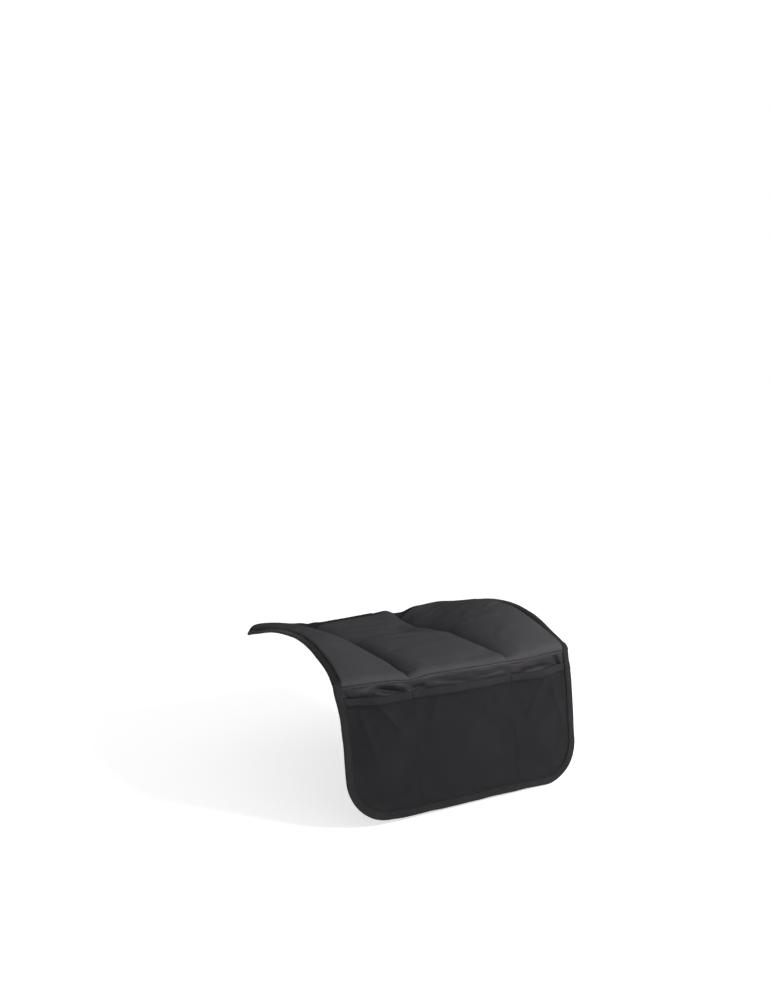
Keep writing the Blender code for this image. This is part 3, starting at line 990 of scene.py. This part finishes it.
def build_backing():
    columns = symmetric_columns(0.0045, 0.002, 0.0022)
    rows = pad_rows(0.0008, 0.0045, 0.0006)
    u, v = sheet_grid(rows, columns, 0.0006)
    top = place(u, v, BACKING)
    bottom = place(u, v, 0.0)
    backing = closed_sheet("underside_cloth", u, v, top, bottom)
    finish(backing, GRIP, "black_anti_slip", "anti_slip_backing")
    # rubber dots in staggered rows
    points, faces = [], []
    sides, rings = 6, ((1.0, 0.0), (0.72, 0.75))
    pitch = 0.0085
    centres = []
    for k, vc in enumerate(np.arange(0.018, PAD_LENGTH - 0.016, pitch * 0.866)):
        for uc in np.arange(-0.2125 + (pitch / 2 if k % 2 else 0.0), 0.2130, pitch):
            if abs(abs(uc) - STITCH_X) > 0.0026 and edge_distance(np.array(uc), np.array(vc)) > 0.0145:
                centres.append((uc, vc))
    centres = np.array(centres)
    turn = np.arange(sides) * 2 * math.pi / sides
    radius, tall = 0.0015, 0.00055
    for share, level in rings:
        du, dv = radius * share * np.cos(turn), radius * share * np.sin(turn)
        points.append(place(centres[:, None, 0] + du, centres[:, None, 1] + dv, 0.0002 - (tall + 0.0002) * level))
    tip = place(centres[:, 0], centres[:, 1], -tall)[:, None, :]
    root = place(centres[:, 0], centres[:, 1], 0.0002)[:, None, :]
    block = np.concatenate(points + [tip, root], axis=1)
    size = block.shape[1]
    for k in range(len(centres)):
        o = k * size
        for m in range(sides):
            n = (m + 1) % sides
            faces.append((o + m, o + sides + m, o + sides + n, o + n))
            faces.append((o + sides + m, o + 2 * sides, o + sides + n))
            faces.append((o + m, o + n, o + 2 * sides + 1))
    dots = link("grip_dots", block, faces)
    recalculated(dots)
    finish(dots, DOTS, "black_anti_slip")
    return backing


# ---------------------------------------------------------------- flap and pockets


def build_flap():
    columns = symmetric_columns(0.0026, 0.002, 0.0016)
    rows = flap_rows(0.0095, 0.0032, 0.0006, [(-0.013, 0.013)])
    u, v = sheet_grid(rows, columns, 0.0006)
    base = (BACKING + GAP) * smooth((v + 0.004) / 0.004)
    base = base + strip_swell(u, v) + creased(u, v, FLAP_FOLDS) * smooth((-0.03 - v) / 0.02)
    shift = flap_shift(u, v) * smooth((-0.0044 - v) / 0.006)[..., None]
    top = place(u, v, base + FLAP) + shift
    bottom = place(u, v, base + 0.0003) + shift
    flap = closed_sheet("flap_cloth", u, v, top, bottom)
    finish(flap, LINING, "dark_flap_fabric", "flap_panel")
    return flap


def build_net():
    columns = symmetric_columns(0.0034, 0.002, 0.0016)
    rows = flap_rows(MESH_TOP, 0.0030, 0.0006)
    u, v = sheet_grid(rows, columns, 0.0006)
    v = v + rising(u) * smooth((v + 0.110) / (MESH_TOP + 0.110))
    points = place(u, v, net_height(u, v)) + net_shift(u, v)
    uv = np.stack([u, v], axis=-1)
    net = link("pocket_net", points, grid_faces(*u.shape), uv)
    finish(net, NET, "black_mesh", "pocket_mesh")
    return net


def build_pocket_tape():
    """The tape folded over the net's top edge."""
    us = spread(-0.2222, 0.2222, 0.0026, [(-STITCH_X, 0.004), (STITCH_X, 0.004)], 0.0012)
    rise = np.array([0.0, 0.0012, 0.0022, 0.0032, 0.0050, 0.0075, 0.0095, 0.0108])
    v_low, v_high = TAPE_BOTTOM, MESH_TOP + 0.0003
    span = v_high - v_low
    sections, uvs = [], []
    for k, u in enumerate(us):
        drawn = float(rising(u))
        vs = v_low + drawn + rise / rise[-1] * span
        uu = np.full(len(vs), u)
        base = net_height(uu, vs) - 0.5 * MESH
        wobble = 0.00025 * waves(uu, vs, 51, 0.035)
        groove = 0.00030 * np.exp(-(((rise - 0.0022) / 0.0007) ** 2))
        groove = groove + 0.00025 * math.exp(-(((abs(u) - STITCH_X) / 0.0008) ** 2))
        front = base + 0.00125 + wobble - groove
        back = base - 0.00125 + wobble + groove
        front[0] -= 0.00035
        back[0] += 0.00035
        lift = net_shift(uu, vs)
        outer_front = place(uu, vs, front) + lift
        outer_back = place(uu, vs, back) + lift
        turn = np.linspace(-80, 80, 7) * math.pi / 180
        vt = v_high + drawn + 0.0013 * np.cos(turn)
        ut = np.full(len(turn), u)
        mid = net_height(np.array([u]), np.array([v_high + drawn]))[0] - 0.5 * MESH
        top = place(ut, vt, mid + 0.00125 * np.sin(turn) + wobble[-1]) + net_shift(ut, np.full(len(turn), v_high + drawn))
        inner_front = place(uu, vs, base + 0.00042 + wobble) + lift
        inner_back = place(uu, vs, base - 0.00042 + wobble) + lift
        loop = np.concatenate([outer_back, top, outer_front[::-1], inner_front, inner_back[::-1]])
        run = np.concatenate([[0.0], np.cumsum(np.linalg.norm(np.diff(loop, axis=0), axis=1))])
        sections.append(loop)
        uvs.append(np.stack([np.full(len(loop), u), run], axis=-1))
    tape = sweep("pocket_top_tape", np.array(sections), False, np.array(uvs))
    recalculated(tape)
    finish(tape, TOP_TAPE, "black_binding", "pocket_top_binding")
    return tape


def build_seam_fold():
    """The narrow tuck of flap cloth that the front seam leaves under the pad's edge."""
    us = np.arange(-0.2222, 0.22221, 0.0011)
    pitch = 0.0048
    turn = np.arange(10) * 2 * math.pi / 10
    sections, uvs = [], []
    for u in us:
        pinch = 0.5 + 0.5 * math.cos(2 * math.pi * u / pitch)
        side = float(smooth((0.2222 - abs(u)) / 0.004))
        proud = 0.74 + 0.26 * float(waves(np.array(u), np.array(0.0), 71, 0.07))
        calm = 0.35 if u > -0.045 else 1.0
        tall = (0.00125 * proud - 0.00045 * pinch * calm) * (0.5 + 0.5 * side)
        wide = 0.00190 + 0.00025 * float(waves(np.array(u), np.array(0.1), 72, 0.05))
        centre = -0.0030 - 0.0003 * float(waves(np.array(u), np.array(0.2), 73, 0.11))
        vs = centre + wide * np.cos(turn)
        hs = FLAP + 0.0008 + tall * np.sin(turn) + 0.0007 * np.clip(np.cos(turn), 0.0, 1.0)
        loop = place(np.full(10, u), vs, hs)
        sections.append(loop)
        uvs.append(np.stack([np.full(10, u), vs + 0.004 * np.sin(turn)], axis=-1))
    fold = sweep("front_seam_fold", np.array(sections), False, np.array(uvs))
    recalculated(fold)
    # the tuck gets the lightened copy of the flap cloth, a painted highlight on its rounded top
    return finish(fold, FOLD_PAINTED_HIGHLIGHT, "dark_flap_fabric")


# ---------------------------------------------------------------- edge binding


def outline(inset, step=0.003):
    """Points round the outline this far inside it, counter-clockwise from the front middle: u, v, outward direction, distance."""
    w, rear, front = HALF_WIDTH - inset, PAD_LENGTH - inset, -(FLAP_LENGTH - inset)
    rr, rf = REAR_RADIUS - inset, FRONT_RADIUS - inset

    def line(a, b, out, fine=()):
        length = math.dist(a, b)
        t = np.linspace(0.0, 1.0, max(2, int(math.ceil(length / step)) + 1))[:-1]
        return [((a[0] + (b[0] - a[0]) * s, a[1] + (b[1] - a[1]) * s), out) for s in t]

    def arc(centre, r, a0, a1):
        count = max(6, int(math.ceil(abs(a1 - a0) * (r + inset) / step)))
        return [
            ((centre[0] + r * math.cos(a), centre[1] + r * math.sin(a)), (math.cos(a), math.sin(a)))
            for a in np.linspace(a0, a1, count + 1)[:-1]
        ]

    q = math.pi / 2
    path = (
        line((0.0, front), (w - rf, front), (0.0, -1.0))
        + arc((w - rf, front + rf), rf, -q, 0.0)
        + line((w, front + rf), (w, rear - rr), (1.0, 0.0))
        + arc((w - rr, rear - rr), rr, 0.0, q)
        + line((w - rr, rear), (-(w - rr), rear), (0.0, 1.0))
        + arc((-(w - rr), rear - rr), rr, q, 2 * q)
        + line((-w, rear - rr), (-w, front + rf), (-1.0, 0.0))
        + arc((-(w - rf), front + rf), rf, 2 * q, 3 * q)
        + line((-(w - rf), front), (0.0, front), (0.0, -1.0))
    )
    at = np.array([p for p, _ in path])
    out = np.array([o for _, o in path])
    step_length = np.linalg.norm(np.roll(at, -1, axis=0) - at, axis=1)
    return at, out, np.concatenate([[0.0], np.cumsum(step_length)[:-1]]), float(step_length.sum())


def stack_height(u, v):
    """Top of what the binding folds over."""
    pad = cover_under(u, np.maximum(v, 0.0)) + COVER
    hang = FLAP + GAP + MESH + 0.0002 + 0 * v
    tape = 0.0016 * np.exp(-(((v - 0.0046 - 0.5 * (MESH_TOP + TAPE_BOTTOM)) / 0.0072) ** 6))
    step = smooth((v + 0.0035) / 0.0035)
    return pad * step + (hang + tape) * (1.0 - step)


BIND_A = np.array([0.0, 0.0009, 0.0017, 0.0023, 0.0029, 0.0038, 0.0055, 0.0080, 0.0105, 0.0120])


def binding_lines(at, out, run, total):
    """Small unevenness of the folded tape along its run."""
    angle = run / total * 2 * math.pi
    lift = sum(
        a * np.sin(k * angle + p)
        for k, a, p in ((31, 0.00016, 0.4), (47, 0.00013, 2.1), (73, 0.00010, 4.0), (118, 0.00007, 1.2))
    )
    edge = sum(
        a * np.sin(k * angle + p)
        for k, a, p in ((9, 0.00045, 1.0), (17, 0.00035, 3.0), (29, 0.00025, 0.3), (53, 0.00012, 5.0))
    )
    return lift, edge


def build_binding():
    at, out, run, total = outline(BINDING)
    lift, edge = binding_lines(at, out, run, total)
    sections, uvs = [], []
    for k in range(len(at)):
        a = BIND_A.copy()
        wide = a * (1.0 + edge[k] / BINDING)
        u, v = at[k, 0] + out[k, 0] * wide, at[k, 1] + out[k, 1] * wide
        over = stack_height(u, v)
        over = np.minimum(over, over[0] + 0.0012)
        groove = 0.00055 * np.exp(-(((a - 0.0023) / 0.0008) ** 2))
        top_in = over + 0.00015
        top_out = top_in + TAPE + lift[k] * np.sin(math.pi * np.clip(a / BINDING, 0, 1)) - groove
        top_out[0] -= 0.0004
        low_in = np.full(len(a), -0.00010)
        low_out = low_in - TAPE - 0.7 * lift[k] * np.sin(math.pi * np.clip(a / BINDING, 0, 1)) + groove
        low_out[0] += 0.0004
        turn = np.linspace(-78, 78, 9) * math.pi / 180
        centre = 0.5 * (top_out[-1] + low_out[-1])
        tall = 0.5 * (top_out[-1] - low_out[-1])
        far = wide[-1] + 0.0013 * np.cos(turn)
        fold = place(at[k, 0] + out[k, 0] * far, at[k, 1] + out[k, 1] * far, centre + tall * np.sin(turn))
        near = wide[-1] + 0.0002
        inner = place(
            np.array([at[k, 0] + out[k, 0] * near] * 2), np.array([at[k, 1] + out[k, 1] * near] * 2),
            np.array([top_in[-1] - 0.0003, low_in[-1] + 0.0003]),
        )
        loop = np.concatenate([
            place(u, v, low_out), fold, place(u, v, top_out)[::-1],
            place(u, v, top_in), inner, place(u, v, low_in)[::-1],
        ])
        length = np.concatenate([[0.0], np.cumsum(np.linalg.norm(np.diff(loop, axis=0), axis=1))])
        sections.append(loop)
        uvs.append(np.stack([np.full(len(loop), run[k]), length], axis=-1))
    tape = sweep("edge_tape", np.array(sections), True, np.array(uvs))
    recalculated(tape)
    finish(tape, EDGE_TAPE, "black_binding", "edge_binding")
    return tape


# ---------------------------------------------------------------- stitches


def stitch_run(points, normals, pitch, length, radius, closed=False, sunk=0.00008):
    """Short raised threads along a line. Returns the points of all stitches and their faces."""
    if closed:
        points = np.concatenate([points, points[:1]])
        normals = np.concatenate([normals, normals[:1]])
    run = np.concatenate([[0.0], np.cumsum(np.linalg.norm(np.diff(points, axis=0), axis=1))])
    count = int(run[-1] / pitch)
    starts = (np.arange(count) + 0.5 * (1 - length / pitch)) * (run[-1] / count)
    sides, rings = 6, 5
    t = np.linspace(0.0, 1.0, rings)
    where = starts[:, None] + t[None, :] * length
    line = np.stack([np.interp(where, run, points[:, k]) for k in range(3)], axis=-1)
    up = np.stack([np.interp(where, run, normals[:, k]) for k in range(3)], axis=-1)
    up /= np.linalg.norm(up, axis=-1, keepdims=True)
    along = line[:, -1:] - line[:, :1]
    along = along / np.linalg.norm(along, axis=-1, keepdims=True)
    side = np.cross(up, np.broadcast_to(along, up.shape))
    side /= np.linalg.norm(side, axis=-1, keepdims=True)
    arch = (radius * 0.9 - sunk) * np.ones(rings)
    arch[[0, -1]] = -radius * 1.1
    fat = np.array([0.55, 0.95, 1.0, 0.95, 0.55]) * radius
    turn = np.arange(sides) * 2 * math.pi / sides
    ring = (
        line[:, :, None, :]
        + up[:, :, None, :] * (arch[None, :, None] + fat[None, :, None] * np.sin(turn)[None, None, :])[..., None]
        + side[:, :, None, :] * (fat[None, :, None] * np.cos(turn)[None, None, :])[..., None]
    )
    block = ring.reshape(count, rings * sides, 3)
    faces = []
    for k in range(count):
        o = k * rings * sides
        for r in range(rings - 1):
            for m in range(sides):
                n = (m + 1) % sides
                faces.append((o + r * sides + m, o + r * sides + n, o + (r + 1) * sides + n, o + (r + 1) * sides + m))
        faces.append(tuple(o + m for m in range(sides - 1, -1, -1)))
        faces.append(tuple(o + (rings - 1) * sides + m for m in range(sides)))
    return block.reshape(-1, 3), faces


def threads(name, runs, material, slot, pitch=0.0032, length=0.0026, radius=0.00026):
    points, faces = [], []
    count = 0
    for line, up, closed in runs:
        p, f = stitch_run(line, up, pitch, length, radius, closed)
        points.append(p)
        faces += [tuple(i + count for i in face) for face in f]
        count += len(p)
    made = link(name, np.concatenate(points), faces)
    recalculated(made)
    return finish(made, material, slot)


def line_on(u, v, height, shift=None, down=False):
    points = place(u, v, height)
    if shift is not None:
        points = points + shift(u, v)
    return points, ups(u, v) * (-1.0 if down else 1.0)


def build_stitches():
    u = np.linspace(-0.2215, 0.2215, 400)
    runs = []
    v = np.full(u.shape, -0.0021)
    runs.append((*line_on(u, v, np.full(u.shape, FLAP + 0.0023)), False))
    threads("front_seam_thread", runs, SEAM_THREAD, "charcoal_polyester", 0.0048, 0.0036, 0.00060)
    runs = []
    v = np.linspace(0.0035, PAD_LENGTH - BINDING - 0.001, 500)
    for side in (-1, 1):
        uu = np.full(v.shape, side * STITCH_X)
        runs.append((*line_on(uu, v, cover_top(uu, v), cover_shift), False))
        runs.append((*line_on(uu, v, 0.0, None, True), False))
    threads("panel_seam_thread", runs, DARK_THREAD, "charcoal_polyester")
    runs = []
    v = np.linspace(-(FLAP_LENGTH - BINDING) + 0.001, TAPE_BOTTOM + 0.010, 400)
    for side in (-1, 1):
        uu = np.full(v.shape, side * STITCH_X)
        over = 0.0010 * smooth((v - TAPE_BOTTOM + 0.0006) / 0.0012)
        runs.append((*line_on(uu, v, net_height(uu, v) + over), False))
        runs.append((*line_on(uu, v, 0.0003, None, True), False))
    threads("pocket_seam_thread", runs, DARK_THREAD, "black_mesh")
    v0 = TAPE_BOTTOM + 0.0022 / 0.0108 * (MESH_TOP + 0.0003 - TAPE_BOTTOM)
    v = v0 + rising(u)
    front = net_height(u, v) - 0.5 * MESH + 0.00125 + 0.00025 * waves(u, v, 51, 0.035) - 0.0003
    threads("pocket_tape_thread", [(*line_on(u, v, front, net_shift), False)], DARK_THREAD, "black_binding")
    at, out, run, total = outline(BINDING)
    lift, edge = binding_lines(at, out, run, total)
    a = 0.0023 * (1.0 + edge / BINDING)
    uu, vv = at[:, 0] + out[:, 0] * a, at[:, 1] + out[:, 1] * a
    swell = lift * math.sin(math.pi * 0.0023 / BINDING)
    over = stack_height(uu, vv) + 0.00015 + TAPE + swell - 0.00055
    under = -0.00010 - TAPE - 0.7 * swell + 0.00055
    threads("edge_thread", [
        (place(uu, vv, over), ups(uu, vv), True), (place(uu, vv, under), -ups(uu, vv), True),
    ], DARK_THREAD, "black_binding")


build_cover()
build_foam("foam_pad_left", -0.2225, -0.1115, "foam_left")
build_foam("foam_pad_middle", -0.0855, 0.0855, "foam_middle")
build_foam("foam_pad_right", 0.1115, 0.2225, "foam_right")
build_backing()
build_flap()
build_seam_fold()
build_net()
build_pocket_tape()
build_binding()
build_stitches()
print("pieces ready")

# ---------------------------------------------------------------- floor, light and camera


def plain(name, colour, roughness):
    made = bpy.data.materials.new(name)
    made.use_nodes = True
    shader = made.node_tree.nodes["Principled BSDF"]
    shader.inputs["Base Color"].default_value = (*colour, 1.0)
    shader.inputs["Roughness"].default_value = roughness
    return made


floor_mesh = bpy.data.meshes.new("floor")
floor_mesh.from_pydata([(-30, -30, 0), (30, -30, 0), (30, 30, 0), (-30, 30, 0)], [], [(0, 1, 2, 3)])
floor = bpy.data.objects.new("floor", floor_mesh)
floor.location.z = -0.2320
floor_finish = plain("pale_floor", (0.86, 0.86, 0.855), 0.85)
glow = floor_finish.node_tree.nodes["Principled BSDF"]
glow.inputs["Emission Color"].default_value = (1.0, 1.0, 1.0, 1.0)
glow.inputs["Emission Strength"].default_value = 0.52
floor_mesh.materials.append(floor_finish)
scene.collection.objects.link(floor)


key = bpy.data.lights.new("key", "AREA")
key.shape = "DISK"
key.size = 0.34
key.energy = 17.5
key_light = bpy.data.objects.new("key", key)
key_light.location = (0.67, -0.88, 0.72)
key_light.rotation_euler = Vector((-0.44, 0.66, -0.60)).to_track_quat("-Z", "Y").to_euler()
scene.collection.objects.link(key_light)

world = bpy.data.worlds.new("studio")
world.use_nodes = True
tree = world.node_tree
toward = tree.nodes.new("ShaderNodeTexCoord")
split = tree.nodes.new("ShaderNodeSeparateXYZ")
fade = tree.nodes.new("ShaderNodeMapRange")
fade.inputs["From Min"].default_value = 0.36
fade.inputs["From Max"].default_value = 0.62
fade.inputs["To Min"].default_value = 1.0
fade.inputs["To Max"].default_value = 0.42
tree.links.new(toward.outputs["Generated"], split.inputs[0])
tree.links.new(split.outputs[2], fade.inputs["Value"])
tree.links.new(fade.outputs["Result"], tree.nodes["Background"].inputs["Color"])
tree.nodes["Background"].inputs["Strength"].default_value = 1.0
scene.world = world
scene.view_settings.view_transform = "Standard"
scene.view_settings.look = "None"
scene.view_settings.exposure = 0.0
scene.view_settings.gamma = 1.0

lens = bpy.data.cameras.new("view")
lens.sensor_fit = "AUTO"
lens.sensor_width = 36.0
lens.lens = 36.0
lens.clip_end = 100.0
camera = bpy.data.objects.new("view", lens)
camera.location = (-0.8952, -1.5495, 0.5035)
camera.rotation_euler = Vector((0.46220, 0.87806, -0.12403)).to_track_quat("-Z", "Y").to_euler()
scene.collection.objects.link(camera)
scene.camera = camera

bpy.context.view_layer.update()
